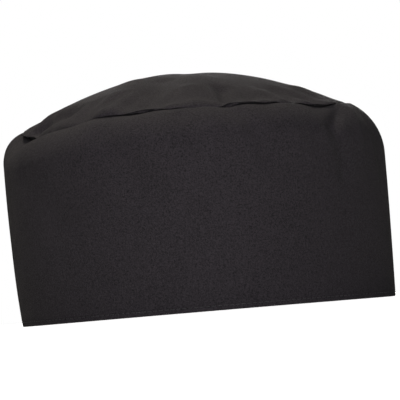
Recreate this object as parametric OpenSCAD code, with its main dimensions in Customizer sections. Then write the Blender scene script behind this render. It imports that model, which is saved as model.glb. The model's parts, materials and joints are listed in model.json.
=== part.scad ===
// Chef's pillbox toque: a stiffened cloth band with a soft, domed crown, and a back
// opening that closes with a hook-and-loop strap. The hem stands on z = 0, the front
// faces -Y, and the back opening faces +Y.

/* [Head] */
// Head circumference that the hat fits as it is fastened
head_circumference = 570; // [550:5:600]

/* [Band] */
// Height of the straight lower part of the band
straight_h = 50; // [49:1:56]
// Height at which the band's wall turns into the rounded shoulder
wall_h = 78; // [70:1:84]
// How far the wall leans outwards between those two heights
flare = 2; // [0:0.5:4]
// Radius of the rounded shoulder
shoulder_r = 17; // [15:1:20]
// Angle round the shoulder at which the crown is sewn on
seam_angle = 80; // [72:1:84]
// Height of the inner sweatband
sweatband_h = 32; // [25:1:36]

/* [Crown] */
// Rise of the crown's dome above its seam
crown_rise = 24.4; // [18:0.2:32]

/* [Back opening] */
// Width of the arched opening
opening_w = 58; // [50:1:60]
// Height of the arched opening above the hem
opening_h = 42; // [36:1:42]
// Width of the binding's legs beside the opening's edge
binding_w = 6; // [4:0.5:6]

/* [Closure] */
// Height of both straps
strap_h = 25; // [20:1:25]
// Height of the straps' lower edge above the hem
strap_z = 3; // [2:0.5:4]
// Length of the outer strap's sewn-down end
root_l = 14; // [10:1:18]
// Width of the hook tape and the loop tape
tape_h = 20; // [16:1:20]

/* [Care label] */
// Width of the blank care label
label_w = 28; // [20:1:34]
// Length of the blank care label
label_h = 34; // [24:1:38]

/* [Hidden] */
$fn = 96;

// Cloth and thread thicknesses
shell_t = 0.6;
interlining_t = 0.6;
lining_t = 0.5;
sweatband_t = 1.1;
crown_t = 0.6;
binding_t = 0.5;
thread_t = 0.2;
thread_w = 0.5;

// Radii of the plies, worked out from the head to the outside
head_r = head_circumference / (2 * PI);
lining_in_r = head_r + sweatband_t;
interlining_in_r = lining_in_r + lining_t;
base_r = interlining_in_r + interlining_t + shell_t;
widest_r = base_r + flare;

// Depths of the plies below the band's outer face
shell_d = 0;
interlining_d = shell_t;
lining_d = shell_t + interlining_t;

// Shoulder and crown seam
shoulder_x = widest_r - shoulder_r;
seam_r = shoulder_x + shoulder_r * cos(seam_angle);
seam_z = wall_h + shoulder_r * sin(seam_angle);
crown_top = seam_z + crown_rise;
crown_r = (pow(seam_r, 2) + pow(crown_rise, 2)) / (2 * crown_rise);
allowance = 7;
allowance_z = seam_z - allowance;
seam_sink = 0.4;
lining_end_angle = seam_angle - 7;
hem_t = 0.8;
sweatband_z = 1.2;
edging_t = 0.6;

// Closure: radii of the stack from the inner strap to the outer strap
move_gap = 0.3;
strap_t = 1;
tape_base_t = 0.35;
pile_t = 0.55;
tape_margin = 2;
loop_strap_r = head_r + 0.55;
loop_tape_r = loop_strap_r + strap_t;
opening_row_t = 0.15;
hook_strap_r = base_r + binding_t + opening_row_t + move_gap;
hook_tape_r = hook_strap_r - tape_base_t;
hook_pile_r = hook_tape_r - pile_t;
hook_out_r = hook_strap_r + strap_t;

// Closure: places along the opening, as angles from the centre of the back
edge_a = asin(opening_w / 2 / base_r);
root_a = root_l / hook_strap_r * 180 / PI;
fold_a = move_gap / hook_strap_r * 180 / PI;
hook_free_a = edge_a - 2.5;
loop_free_a = edge_a - 6;
tape_inset_a = 1.5;
hook_tape_a = 16;
leg_x = opening_w / 2 + binding_w;
inside_end_a = asin((leg_x + 1) / head_r);

// Stitch rows: distance from an edge
hem_row = 2;
tape_row = 1;
seam_row = 2;

// ---------- shapes that repeat ----------

function wall_r(z) = z <= straight_h
    ? base_r
    : base_r + flare * (z - straight_h) / (wall_h - straight_h);

// Section of one ply of the band's wall, depth d below the outer face, t thick
module wall_section(d, t, z0, z1) {
    polygon([
        [wall_r(z0) - d, z0],
        [wall_r(straight_h) - d, straight_h],
        [wall_r(z1) - d, z1],
        [wall_r(z1) - d - t, z1],
        [wall_r(straight_h) - d - t, straight_h],
        [wall_r(z0) - d - t, z0],
    ]);
}

// Section of one ply round the shoulder, up to angle a
module shoulder_section(d, t, a) {
    far = 2 * shoulder_r;
    translate([shoulder_x, wall_h]) intersection() {
        difference() {
            circle(shoulder_r - d);
            circle(shoulder_r - d - t);
        }
        polygon([[0, 0], [far, 0], [far, far], [far * cos(a), far * sin(a)]]);
    }
}

// A ring of rectangular section
module ring(r0, r1, z0, z1) {
    rotate_extrude() translate([r0, z0]) square([r1 - r0, z1 - z0]);
}

// Part of a ring, between two angles counted from the centre of the back towards +X
module arc(r0, r1, z0, z1, a0, a1) {
    rotate([0, 0, 90 - a1])
        rotate_extrude(angle = a1 - a0)
            translate([r0, z0]) square([r1 - r0, z1 - z0]);
}

// The opening's arch, grown by g, as a prism through the back of the band
module arch(g) {
    r = opening_w / 2 + g;
    spring_z = opening_h - opening_w / 2;
    depth = 40;
    translate([0, base_r + depth / 2, 0]) rotate([90, 0, 0]) linear_extrude(depth) {
        translate([0, spring_z]) circle(r);
        translate([-r, -1]) square([2 * r, spring_z + 1]);
    }
}

// A thin wall that follows the arch at distance g0 to g1, between two radii
module arch_band(r0, r1, g0, g1) {
    difference() {
        intersection() {
            ring(r0, r1, 0, straight_h);
            arch(g1);
        }
        arch(g0);
    }
}

// A row of thread along the border of a patch on a cylinder, between two angles
module patch_stitches(r0, r1, z0, z1, a0, a1, inset) {
    inset_a = inset / r1 * 180 / PI;
    w_a = thread_w / r1 * 180 / PI;
    difference() {
        arc(r0, r1, z0 + inset, z1 - inset, a0 + inset_a, a1 - inset_a);
        arc(r0 - 1, r1 + 1, z0 + inset + thread_w, z1 - inset - thread_w,
            a0 + inset_a + w_a, a1 - inset_a - w_a);
    }
}

// ---------- band ----------

// Outer ply: turned in at the hem, rounded over the shoulder, and turned down in the
// crown seam. The strip's two ends meet above the opening.
module band_shell() {
    end_gap = 0.2;
    color("#27242a") difference() {
        rotate_extrude() {
            wall_section(shell_d, shell_t, 0, wall_h);
            intersection() {
                shoulder_section(shell_d, shell_t, seam_angle);
                translate([seam_r, wall_h]) square(2 * shoulder_r);
            }
            translate([lining_in_r, 0])
                square([base_r - lining_in_r, hem_t]);
            translate([seam_r, allowance_z])
                square([shell_t, seam_z - seam_sink - allowance_z]);
        }
        arch(binding_t);
        translate([-end_gap / 2, 0, opening_h - 1]) cube([end_gap, base_r + 10, crown_top]);
    }
}

// Stiffener between the two plies
module band_interlining() {
    color("#8f8d88") difference() {
        rotate_extrude() wall_section(interlining_d, interlining_t, hem_t, wall_h);
        arch(binding_t);
    }
}

// Inner ply, from the hem up and round the shoulder
module band_lining() {
    color("#232126") difference() {
        rotate_extrude() {
            wall_section(lining_d, lining_t, hem_t, wall_h);
            shoulder_section(lining_d, lining_t, lining_end_angle);
        }
        arch(binding_t);
    }
}

// Strip that lies on the forehead; it stops beside the opening's binding
module sweatband() {
    color("#2b282d")
        arc(head_r, lining_in_r, sweatband_z, sweatband_z + sweatband_h,
            inside_end_a, 360 - inside_end_a);
}

// Overlock thread round the sweatband's free upper edge
module sweatband_edging() {
    z = sweatband_z + sweatband_h;
    color("#3c3a40")
        arc(head_r, lining_in_r, z, z + edging_t, inside_end_a, 360 - inside_end_a);
}

// ---------- crown ----------

// One domed panel, turned down in the seam
module crown_panel() {
    centre_z = crown_top - crown_r;
    color("#37332f") rotate_extrude() {
        intersection() {
            translate([0, centre_z]) difference() {
                circle(crown_r);
                circle(crown_r - crown_t);
            }
            translate([0, allowance_z]) square([seam_r, crown_top]);
        }
        translate([seam_r - crown_t, allowance_z])
            square([crown_t, seam_z - seam_sink - allowance_z]);
    }
}

// Bias tape folded round the seam's raw edges inside the hat
module crown_seam_binding() {
    leg_top = seam_z - 2.6;
    color("#1f1d21") difference() {
        ring(seam_r - crown_t - binding_t, seam_r + shell_t + binding_t,
            allowance_z - binding_t, leg_top);
        ring(seam_r - crown_t, seam_r + shell_t, allowance_z, leg_top + 1);
    }
}

// ---------- stitch rows ----------

module crown_seam_stitching() {
    r = seam_r - crown_t - binding_t;
    color("#3c3a40") ring(r - thread_t, r, allowance_z + 1.5, allowance_z + 1.5 + thread_w);
}

// The row along the hem ends at the binding on one side and at the strap on the other
module hem_stitching() {
    end_a = asin((leg_x + move_gap) / base_r);
    strap_end_a = edge_a + root_a + fold_a;
    color("#3c3a40")
        arc(base_r, base_r + thread_t, hem_row, hem_row + thread_w, end_a, 360 - strap_end_a);
}

// Two rows that hold the strip's ends together above the opening
module back_seam_stitching() {
    color("#3c3a40") intersection() {
        rotate_extrude() wall_section(-thread_t, thread_t, 0, wall_h);
        for (side = [-1, 1])
            translate([side * seam_row - thread_w / 2, 0, opening_h + binding_w + 1])
                cube([thread_w, base_r + 10, wall_h]);
    }
}

// ---------- back opening ----------

// Bias tape folded round the opening's edge
module opening_binding() {
    color("#1f1d21") union() {
        arch_band(base_r, base_r + binding_t, 0, binding_w);
        arch_band(lining_in_r - binding_t, lining_in_r, 0, binding_w);
        arch_band(lining_in_r - binding_t, base_r + binding_t, 0, binding_t);
    }
}

module opening_stitching() {
    row = binding_w - tape_row;
    r = base_r + binding_t;
    color("#3c3a40") arch_band(r, r + opening_row_t, row - thread_w, row);
}

// ---------- closure ----------

// Sewn-down end of the outer strap, doubled under itself and laid over the binding
module hook_strap_root() {
    color("#27242a") difference() {
        arc(base_r, hook_out_r, strap_z, strap_z + strap_h,
            -edge_a - root_a, -edge_a - fold_a);
        intersection() {
            ring(base_r - 1, base_r + binding_t + opening_row_t, 0, straight_h);
            arch(binding_w);
        }
    }
}

module hook_root_stitching() {
    color("#3c3a40")
        patch_stitches(hook_out_r, hook_out_r + thread_t, strap_z, strap_z + strap_h,
            -edge_a - root_a, -edge_a - fold_a, tape_margin);
}

// Outer strap, from its fold line to its free end
module hook_strap() {
    color("#27242a")
        arc(hook_strap_r, hook_out_r, strap_z, strap_z + strap_h, -edge_a, hook_free_a);
}

// Tape with hooks, on the inner face of the outer strap's free end
module hook_tape() {
    margin_a = tape_margin / hook_tape_r * 180 / PI;
    z0 = strap_z + (strap_h - tape_h) / 2;
    a1 = hook_free_a - tape_inset_a;
    color("#141316") {
        arc(hook_tape_r, hook_strap_r, z0, z0 + tape_h, a1 - hook_tape_a, a1);
        arc(hook_pile_r, hook_tape_r, z0 + tape_margin, z0 + tape_h - tape_margin,
            a1 - hook_tape_a + margin_a, a1 - margin_a);
    }
}

// The row shows on both faces: beside the hooks, and on the strap's outer face
module hook_tape_stitching() {
    z0 = strap_z + (strap_h - tape_h) / 2;
    a1 = hook_free_a - tape_inset_a;
    color("#3c3a40") {
        patch_stitches(hook_tape_r - thread_t, hook_tape_r, z0, z0 + tape_h,
            a1 - hook_tape_a, a1, tape_row);
        patch_stitches(hook_out_r, hook_out_r + thread_t, z0, z0 + tape_h,
            a1 - hook_tape_a, a1, tape_row);
    }
}

// Inner strap, caught in the binding at the opening's right edge
module loop_strap() {
    color("#27242a") intersection() {
        arc(loop_strap_r, loop_tape_r, strap_z, strap_z + strap_h, -loop_free_a, edge_a);
        arch(-move_gap);
    }
}

// Tape with soft loops, on the inner strap's outer face
module loop_tape() {
    margin_a = tape_margin / loop_tape_r * 180 / PI;
    z0 = strap_z + (strap_h - tape_h) / 2;
    a0 = -loop_free_a + tape_inset_a;
    a1 = edge_a - 2 * tape_inset_a;
    color("#1a181c") {
        arc(loop_tape_r, loop_tape_r + tape_base_t, z0, z0 + tape_h, a0, a1);
        arc(loop_tape_r + tape_base_t, loop_tape_r + tape_base_t + pile_t,
            z0 + tape_margin, z0 + tape_h - tape_margin, a0 + margin_a, a1 - margin_a);
    }
}

module loop_tape_stitching() {
    r = loop_tape_r + tape_base_t;
    z0 = strap_z + (strap_h - tape_h) / 2;
    color("#3c3a40")
        patch_stitches(r, r + thread_t, z0, z0 + tape_h,
            -loop_free_a + tape_inset_a, edge_a - 2 * tape_inset_a, tape_row);
}

// ---------- care label ----------

// Blank label that hangs from the crown seam's binding at the back
module care_label() {
    label_t = 0.5;
    top_z = allowance_z - binding_t - move_gap;
    color("#d8d6d0")
        translate([-label_w / 2, seam_r - crown_t - label_t, top_z - label_h])
            cube([label_w, label_t, label_h]);
}

band_shell();
band_interlining();
band_lining();
sweatband();
crown_panel();
crown_seam_binding();
crown_seam_stitching();
hem_stitching();
sweatband_edging();
back_seam_stitching();
opening_binding();
opening_stitching();
hook_strap_root();
hook_root_stitching();
hook_strap();
hook_tape();
hook_tape_stitching();
loop_strap();
loop_tape();
loop_tape_stitching();
care_label();
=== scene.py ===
import json
import math

import bpy
import numpy as np
from mathutils import Matrix, Vector
from mathutils.geometry import delaunay_2d_cdt


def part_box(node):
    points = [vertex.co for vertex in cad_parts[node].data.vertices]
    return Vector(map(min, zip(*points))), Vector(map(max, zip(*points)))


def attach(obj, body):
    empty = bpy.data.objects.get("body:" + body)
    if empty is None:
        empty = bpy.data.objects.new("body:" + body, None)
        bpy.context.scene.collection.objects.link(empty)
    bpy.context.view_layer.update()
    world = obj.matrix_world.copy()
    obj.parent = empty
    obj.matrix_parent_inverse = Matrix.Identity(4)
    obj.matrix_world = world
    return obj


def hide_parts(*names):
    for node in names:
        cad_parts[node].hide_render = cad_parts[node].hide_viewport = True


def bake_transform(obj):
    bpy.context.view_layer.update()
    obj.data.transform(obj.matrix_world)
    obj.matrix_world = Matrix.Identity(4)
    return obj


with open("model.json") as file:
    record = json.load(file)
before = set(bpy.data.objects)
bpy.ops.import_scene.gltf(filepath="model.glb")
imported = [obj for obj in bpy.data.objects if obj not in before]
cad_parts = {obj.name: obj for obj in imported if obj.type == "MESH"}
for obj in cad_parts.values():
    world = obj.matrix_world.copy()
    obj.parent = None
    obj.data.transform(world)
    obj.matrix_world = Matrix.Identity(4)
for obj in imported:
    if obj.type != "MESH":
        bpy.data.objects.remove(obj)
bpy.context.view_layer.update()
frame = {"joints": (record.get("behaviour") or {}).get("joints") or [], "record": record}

MM = 0.001
PI = math.pi
DEG = PI / 180


# ---------- sizes, from the frame ----------

def box_mm(node):
    low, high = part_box(node)
    return np.array(low) / MM, np.array(high) / MM


HEAD_R = frame["record"]["mounts"][0]["dims"]["r_mm"]
SHELL_T = 0.6
INTERLINING_T = 0.6
LINING_T = 0.5
SWEATBAND_T = 1.1
CROWN_T = 0.6
TAPE_T = 0.5
LINING_D = SHELL_T + INTERLINING_T
SWEATBAND_D = LINING_D + LINING_T
BASE_R = HEAD_R + SWEATBAND_T + SWEATBAND_D
SEAM_R, _, CROWN_Z = box_mm("crown_panel")[1]
SEAM_Z = box_mm("band_shell")[1][2]
BINDING_W = 6.0
# Flat widths of the two bindings, and how far the weave of bias tape runs along and across it
# for each mm along the tape
BIAS_ALONG = 0.72
BIAS_ACROSS = 0.7
OPENING_X, _, OPENING_Z = box_mm("opening_binding")[1] - BINDING_W
EDGE_X = OPENING_X + TAPE_T
SPRING_Z = OPENING_Z - OPENING_X
STRAP_LOW, STRAP_HIGH = (end[2] for end in box_mm("hook_strap"))
SWEATBAND_LOW, SWEATBAND_HIGH = (end[2] for end in box_mm("sweatband"))
(_, _, LABEL_LOW), (LABEL_X, _, _) = box_mm("care_label")
LIP = 1.6
SEAM_GAP = 0.3
FLANGE = 4.8
HEM_TURN = 8.0
HEM_ROW = 2.25


# ---------- small numeric helpers ----------

def smooth(x):
    x = np.clip(x, 0.0, 1.0)
    return x * x * (3 - 2 * x)


def bump(x, width):
    return np.exp(-(x / width) ** 2)


def turn(a, centre):
    """Signed angle from centre to a, in radians, between -pi and pi."""
    return (a - centre + PI) % (2 * PI) - PI


def hills(a, spots):
    """Sum of smooth hills round the hat: (azimuth, half-width, height), in degrees and mm."""
    total = 0.0
    for centre, width, height in spots:
        total = total + height * bump(turn(a, centre * DEG), width * DEG)
    return total


def waves(x, y, seed, count, low, high):
    """Smooth random waves of period 2 pi in x, between -1 and 1 or so."""
    draw = np.random.default_rng(seed)
    total = 0.0
    for k in range(count):
        number = low + round((high - low) * k / max(count - 1, 1))
        phase, lean = draw.uniform(0, 2 * PI), draw.uniform(-1.2, 1.2)
        total = total + np.cos(number * x + lean * y + phase) / math.sqrt(count)
    return total


def folds(u, v, lines):
    """Sum of soft folds: (u0, v0, u1, v1, half-width, height), all in mm."""
    total = 0.0
    for u0, v0, u1, v1, width, height in lines:
        du, dv = u1 - u0, v1 - v0
        s = np.clip(((u - u0) * du + (v - v0) * dv) / (du * du + dv * dv), 0, 1)
        gap2 = (u - u0 - s * du) ** 2 + (v - v0 - s * dv) ** 2
        total = total + height * np.exp(-gap2 / width ** 2)
    return total


def unit(v):
    return v / np.maximum(np.linalg.norm(v, axis=-1, keepdims=True), 1e-9)


def at(a, r, z):
    """Points at azimuth a, radius r and height z."""
    return np.stack(np.broadcast_arrays(r * np.sin(a), -r * np.cos(a), z), -1)


def offset_path(path, half):
    """Two paths beside a path in the (t, depth) plane, half a thickness to either side."""
    step = unit(np.gradient(path, axis=0))
    side = np.stack([-step[:, 1], step[:, 0]], 1)
    return path - side * half, path + side * half


def path_length(path):
    """The way along a path to each of its points."""
    steps = np.linalg.norm(np.diff(path, axis=0), axis=-1)
    return np.concatenate([[0], np.cumsum(steps)])


def joint_point(name):
    found = [joint for joint in frame["joints"] if joint["name"] == name][0]
    return np.array(found["pos_m"]) / MM


# ---------- the band's shape ----------

# Dips and rises of the crown seam: (azimuth, half-width, height)
SEAM_LINE = (
    (-66, 20, -4.3), (-43, 7, -1.0), (-30, 5, 0.3), (-20, 6, -0.9), (10.5, 4, -1.2),
    (24, 6, -0.5), (46, 9, -2.6), (92, 22, 3.4), (128, 10, -0.8), (148, 8, 0.6),
    (-150, 10, -1.0), (-122, 9, 0.8), (-94, 9, 4.4), (-76, 6, -1.6),
)
# Where the shoulder rolls wider or tighter, and where the seam lies further in
SHOULDER_LINE = ((-90, 50, -5.0), (92, 36, 11.0))
SEAM_INSET = ((92, 24, -5.5),)
# Soft creases of the stiff band: azimuth and t at both ends, half-width, height
CREASES = (
    (-3, 94, 0, 78, 4, -1.5), (14, 94, 20, 69, 4.5, -1.5), (28, 94, 30, 76, 5, 1.0),
    (55, 98, 45, 82, 3.5, -2.2), (45, 82, 47, 60, 4.5, -1.3), (60, 94, 56, 76, 4, 0.9),
    (-27, 84, -13, 54, 7, -1.4),
    (-18, 92, -3, 58, 8, 1.1), (-58, 72, -44, 50, 8, -1.1), (68, 86, 72, 58, 6, -1.2),
    (105, 84, 112, 60, 6, -0.9), (128, 90, 124, 72, 5, 0.7), (-104, 82, -98, 58, 6, -0.8),
    (-128, 90, -134, 70, 5, -0.8), (150, 88, 146, 70, 5, -0.6), (-158, 86, -152, 68, 6, 0.6),
)


def seam_top(a):
    """Height of the band's upper lip."""
    return SEAM_Z + 0.25 + hills(a, SEAM_LINE)


def seam_radius(a):
    return SEAM_R + hills(a, SEAM_INSET)


def flare(a):
    """How much wider the band is at its shoulder than at its hem."""
    return 2.5 - 1.5 * np.sin(a)


def band_section(a):
    """The shoulder's radius, centre and end angle, the lip's centre, and the t at which the wall,
    the shoulder and the lip end."""
    shoulder = 19 + hills(a, SHOULDER_LINE)
    rim = seam_radius(a) + SEAM_GAP / 2 + LIP
    centre = BASE_R + flare(a) - shoulder
    end = np.arccos((rim - centre) / (shoulder - LIP))
    wall = seam_top(a) - LIP - (shoulder - LIP) * np.sin(end)
    t_lip = wall + shoulder * end
    return shoulder, centre, end, rim, wall, t_lip, t_lip + LIP * (PI - end)


def near_back(a):
    """1 over the opening and the straps, 0 elsewhere: there the wall keeps the frame's shape."""
    return 1 - smooth((np.abs(turn(a, PI)) - 32 * DEG) / (26 * DEG))


def band_relief(a, t, depth):
    """How far the band's cloth stands out from its smooth shape."""
    lines = [(a0 * DEG * BASE_R, t0, a1 * DEG * BASE_R, t1, width, height)
             for a0, t0, a1, t1, width, height in CREASES]
    arc = turn(a, 0) * BASE_R
    soft = 0.35 * waves(a, t / 45, 11, 6, 2, 8) + 0.05 * waves(a, t / 14, 12, 9, 17, 60)
    out = (soft + folds(arc, t, lines)) * (0.25 + 0.75 * smooth(t / 40))
    out = out - 2.4 * bump(turn(a, -79 * DEG), 7 * DEG) * bump(t - 100, 8)
    out = out * (1 - near_back(a) * (1 - 0.5 * smooth((t - 52) / 16)))
    puckers = 0.07 * waves(a, 0 * a, 13, 12, 70, 170) * bump(t - 2.3, 3.0)
    groove = -0.14 * bump(t - HEM_ROW, 0.55) * (depth < SHELL_T)
    seam = -0.38 * bump(turn(a, PI) * BASE_R, 0.45) * smooth((t - OPENING_Z) / 2)
    rows = -0.10 * bump(np.abs(turn(a, PI)) * BASE_R - 2, 0.5) * smooth((t - 49) / 2)
    return out + puckers + groove + (seam + rows) * (depth < SHELL_T)


def band_point(a, t, depth):
    """The point of the band t mm up from the hem and depth mm below the outer face."""
    a, t, depth = np.broadcast_arrays(*(np.asarray(x, float) for x in (a, t, depth)))
    shoulder, centre, end, rim, wall, t_lip, t_flange = band_section(a)
    stage = [t < wall, t < t_lip, t < t_flange]
    lip_z = seam_top(a) - LIP

    u = np.clip(t / wall, 0, 1)
    back = near_back(a)
    lean = (1 - back) * (1 - (1 - u) ** 2.2) + back * smooth((u - 0.6) / 0.4)
    slope = (1 - back) * 2.2 * (1 - u) ** 1.2 * flare(a) / wall
    phi = np.select(stage, [-slope, (t - wall) / shoulder, end + (t - t_lip) / LIP], PI)
    wall_r = BASE_R + flare(a) * lean
    r = np.select(stage, [wall_r, centre + shoulder * np.cos(phi), rim + LIP * np.cos(phi)], rim - LIP)
    z = np.select(stage, [t, wall + shoulder * np.sin(phi), lip_z + LIP * np.sin(phi)],
                  lip_z - (t - t_flange))
    fade = smooth((t_lip + 1 - t) / 9)
    out = band_relief(a, t, depth) * fade - depth
    r = r + np.cos(phi) * out
    z = z + np.sin(phi) * out
    z = z + 0.35 * np.maximum(0, np.cos(a)) ** 2 * (1 - smooth(t / 45))
    return at(a, r, z)


def seam_length(a):
    """t at the start of the flange that is turned down into the crown seam."""
    return band_section(a)[-1]


# ---------- the crown's shape ----------

CROWN_FLAT = 95.0
DOME_SHARE = 0.80
RIM_SHARE = 0.90
GROOVE_SHARE = 0.95
# How far the crown bulges out over the seam: (azimuth, half-width, mm)
OVERHANG = (
    (-96, 7, 2.0), (-83, 9.5, 5.0), (-29, 5, 2.8), (-18, 7, 2.8), (-6, 5, 1.8), (3, 5, 1.2),
    (13, 4, 2.6), (21, 5, 2.4), (27, 4, 1.4), (42, 6, 2.8), (52, 6, 2.4),
    (122, 12, 1.4), (146, 10, 2.2), (172, 10, 1.2), (-152, 12, 2.4), (-126, 10, 1.6),
)
# Where the crown's edge stands clear above the band's lip
CROWN_GAP = ((-75, 6, 2.6), (-91, 6, -1.2))
# The folded tip on the left ends flat, without a rolled edge
FLAT_TIP = ((-84, 13, 1.0),)
# Folds of the crown's cloth: azimuth and flat radius at both ends, half-width, height
CROWN_FOLDS = (
    (-73, 82, -52, 75, 3.0, -3.2), (-74, 76, -48, 68, 3.5, 0.6), (-71, 85, -44, 84, 1.9, 1.4),
    (-29, 88, -50, 38, 9, 1.3), (-15, 88, -20, 40, 8, -1.5), (-7, 88, -2, 62, 4.0, 1.0),
    (3, 84, 4, 40, 8, 1.8), (11, 88, 15, 62, 4.0, -2.5),
    (3, 78, 8, 88, 2.0, 0.6), (31, 86, 33, 68, 4.0, 0.9), (45, 84, 40, 66, 5.0, -1.0),
    (66, 86, 62, 64, 5.0, 0.9), (84, 84, 80, 66, 4.5, -0.9), (104, 86, 98, 60, 5.0, 1.0),
    (122, 84, 126, 64, 4.5, -1.1), (147, 86, 150, 58, 5.5, 1.0), (168, 84, 160, 64, 4.5, -1.0),
    (-170, 86, -174, 62, 5.0, 0.9), (-150, 84, -144, 62, 4.5, -1.1), (-128, 86, -132, 60, 5.0, 1.0),
    (-106, 84, -100, 64, 4.5, -1.0), (-88, 80, -92, 58, 5.0, 0.8), (-35, 84, -38, 62, 4.5, 0.8),
)


def dome_z(a, r):
    q = r / SEAM_R
    rise = (CROWN_Z - SEAM_Z - 0.6) * (1 - q ** 1.6)
    left = 3.7 * np.maximum(0, -np.sin(a)) ** 1.2 * (1 - np.exp(-4 * q))
    sag = 1.8 * waves(a, q * 3, 21, 5, 1, 5) * q * (1 - q)
    return SEAM_Z + rise + left + sag


def bezier(p0, p1, p2, p3, s):
    return p0 * (1 - s) ** 3 + 3 * p1 * s * (1 - s) ** 2 + 3 * p2 * s * s * (1 - s) + p3 * s ** 3


def crown_smooth(a, share):
    """The crown before its folds; share is 0 at the centre and 1 at the raw edge in the seam."""
    top = seam_top(a)
    over = hills(a, OVERHANG)
    seam_r = seam_radius(a)
    end_r = 0.895 * seam_r
    dome_r = end_r * np.minimum(share / DOME_SHARE, 1)
    dome_h = dome_z(a, dome_r)

    end_h = dome_z(a, end_r)
    slope = (end_h - dome_z(a, end_r - 0.5)) / 0.5
    reach = 4.5 / np.hypot(1, slope)
    gap = hills(a, CROWN_GAP)
    bulging = smooth(over / 1.5)
    rolled = bulging * (1 - hills(a, FLAT_TIP))
    edge_r = seam_r + 0.3 + over
    edge_z = top - 0.1 + 0.38 * over + gap
    s = np.clip((share - DOME_SHARE) / (RIM_SHARE - DOME_SHARE), 0, 1)
    before_r = edge_r + 0.15 * over * rolled - 1.2 * (1 - rolled)
    puff_r = bezier(end_r, end_r + reach, before_r, edge_r, s)
    lift = np.maximum(0.9, 0.34 * (end_h - edge_z) * rolled)
    puff_h = bezier(end_h, end_h + reach * slope, edge_z + lift, edge_z, s)

    s = np.clip((share - RIM_SHARE) / (GROOVE_SHARE - RIM_SHARE), 0, 1)
    groove_r = seam_r - SEAM_GAP / 2
    under_r = bezier(edge_r, edge_r, groove_r + 0.1, groove_r, s)
    below_h = top - 0.9 + 1.6 * bulging + 0.35 * over + 0.8 * np.maximum(gap, 0)
    under_h = bezier(edge_z, edge_z - 0.35 - 0.05 * over, below_h, top - 2.2, s)

    s = (share - GROOVE_SHARE) / (1 - GROOVE_SHARE)
    flange_h = top - 2.2 - s * 4.6
    stage = [share <= DOME_SHARE, share <= RIM_SHARE, share <= GROOVE_SHARE]
    r = np.select(stage, [dome_r, puff_r, under_r], groove_r)
    z = np.select(stage, [dome_h, puff_h, under_h], flange_h)
    return at(a, r, z)


def crown_point(a, share):
    """The crown with its folds and the small puckers beside the seam."""
    base = crown_smooth(a, share)
    step = 0.004
    across = crown_smooth(a + step, share) - base
    along = crown_smooth(a, share + step) - base
    lines = [(r0 * math.sin(a0 * DEG), -r0 * math.cos(a0 * DEG),
              r1 * math.sin(a1 * DEG), -r1 * math.cos(a1 * DEG), width, height)
             for a0, r0, a1, r1, width, height in CROWN_FOLDS]
    rho = share * CROWN_FLAT
    relief = folds(rho * np.sin(a), -rho * np.cos(a), lines)
    relief = relief + 0.55 * waves(a, rho / 9, 22, 10, 18, 46) * smooth((rho - 52) / 26)
    relief = relief * (1 - smooth((share - RIM_SHARE) / 0.03))
    return base + unit(np.cross(along, across)) * relief[..., None]


# ---------- meshes ----------

def read_vectors(items, name):
    values = np.empty(len(items) * 3)
    items.foreach_get(name, values)
    return values.reshape(-1, 3)


def edge_ends(mesh):
    """The first and the second point of every edge."""
    ends = np.empty(len(mesh.edges) * 2, int)
    mesh.edges.foreach_get("vertices", ends)
    return ends.reshape(-1, 2).T


def gather(ends, at_first, at_second, count):
    """Per point, the sum of the values that its edges have at that end."""
    return np.bincount(ends[0], at_first, count) + np.bincount(ends[1], at_second, count)


def mark_wear(mesh):
    """Store how sharply each point stands out, as the attribute "wear": 1 on a worn edge."""
    count = len(mesh.vertices)
    place = read_vectors(mesh.vertices, "co") / MM
    normal = read_vectors(mesh.vertex_normals, "vector")
    ends = edge_ends(mesh)
    step = place[ends[1]] - place[ends[0]]
    length2 = np.maximum((step * step).sum(1), 1e-6)
    bend = gather(ends, -(step * normal[ends[0]]).sum(1) / length2,
                  (step * normal[ends[1]]).sum(1) / length2, count)
    edges = np.bincount(ends.ravel(), minlength=count)
    wear = smooth((2 * bend / np.maximum(edges, 1) - 0.12) / 1.2)
    layer = mesh.attributes.get("wear") or mesh.attributes.new("wear", "FLOAT", "POINT")
    layer.data.foreach_set("value", wear.astype(np.float32))


def add_object(name, data, place=(0, 0, 0)):
    thing = bpy.data.objects.new(name, data)
    thing.location = place
    bpy.context.scene.collection.objects.link(thing)
    return thing


def dress(piece, slot, *nodes):
    """The CAD nodes that a piece stands for are hidden; its material's slot is not used."""
    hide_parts(*nodes)


def make_piece(name, points, faces, material, body=None, uv=None, sharp=50):
    """A mesh piece from points in mm and faces; uv gives each face corner's weave place in mm."""
    mesh = bpy.data.meshes.new(name)
    mesh.from_pydata((np.asarray(points) * MM).tolist(), [], faces, shade_flat=False)
    if uv is not None:
        mesh.uv_layers.new(name="weave").data.foreach_set("uv", np.asarray(uv, np.float32).ravel())
    mesh.validate()
    mesh.set_sharp_from_angle(angle=sharp * DEG)
    mesh.materials.append(material)
    mark_wear(mesh)
    piece = add_object(name, mesh)
    if body:
        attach(piece, body)
    return piece


CUT_EDGE = 0.3


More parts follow.
